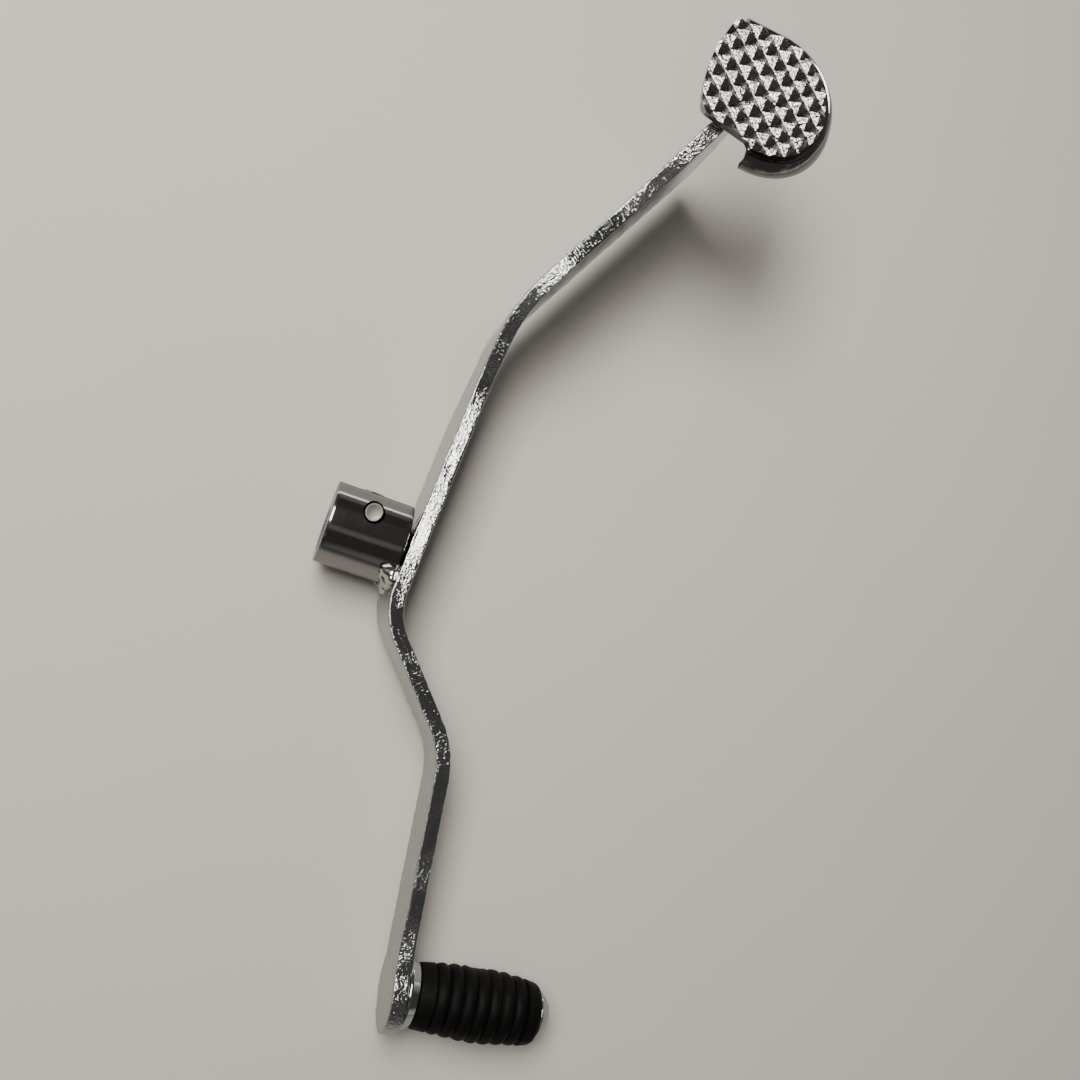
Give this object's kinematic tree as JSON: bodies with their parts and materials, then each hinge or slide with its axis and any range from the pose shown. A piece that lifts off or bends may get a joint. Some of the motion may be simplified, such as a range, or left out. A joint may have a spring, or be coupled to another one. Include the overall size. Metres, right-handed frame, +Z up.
{
  "type": "motorcycle gear shift lever",
  "caption": "Chromed heel-and-toe gear lever: bent flat bar with a splined clamp boss, knurled heel pad and ribbed rubber toe peg.",
  "frame": {"origin": "on the axis of the splined bore, half way along the clamp boss", "axes": "+X forward to the toe peg, +Y outward from the engine along the gear shaft, +Z up"},
  "size_m": [0.3113, 0.1098, 0.0756],
  "materials": {
    "chromed_bar": "ground edges under bright chrome",
    "chromed_boss": "turned under bright chrome",
    "chromed_weld": "chromed weld bead",
    "chromed_pad": "cast pyramids under bright chrome",
    "chromed_peg": "bright chrome",
    "toe_rubber": "moulded matt black",
    "bolt_steel": "zinc plated",
    "washer_steel": "plain spring steel"
  },
  "bodies": {
    "lever": {"arm_bar": "chromed_bar", "clamp_boss": "chromed_boss", "boss_weld": "chromed_weld", "heel_pad": "chromed_pad", "heel_pad_weld": "chromed_weld", "toe_peg": "chromed_peg", "toe_rubber": "toe_rubber"},
    "bolt_travel": {"lock_washer": "washer_steel"},
    "bolt": {"pinch_bolt": "bolt_steel"}
  },
  "joints": [
    {"name": "bolt_slide", "type": "slide", "parent": "lever", "child": "bolt_travel", "axis": [-0.2334, 0, -0.9724], "range_m": [0, 0.00801]},
    {"name": "bolt_turn", "type": "hinge", "parent": "bolt_travel", "child": "bolt", "pos_m": [-0.00963, 0, 0.00231], "axis": [-0.2334, 0, -0.9724], "range_deg": [0, 2880]}
  ],
  "couplings": [
    {"joint": "bolt_slide", "follows": "bolt_turn", "m_per_rad": 0.00015915}
  ]
}
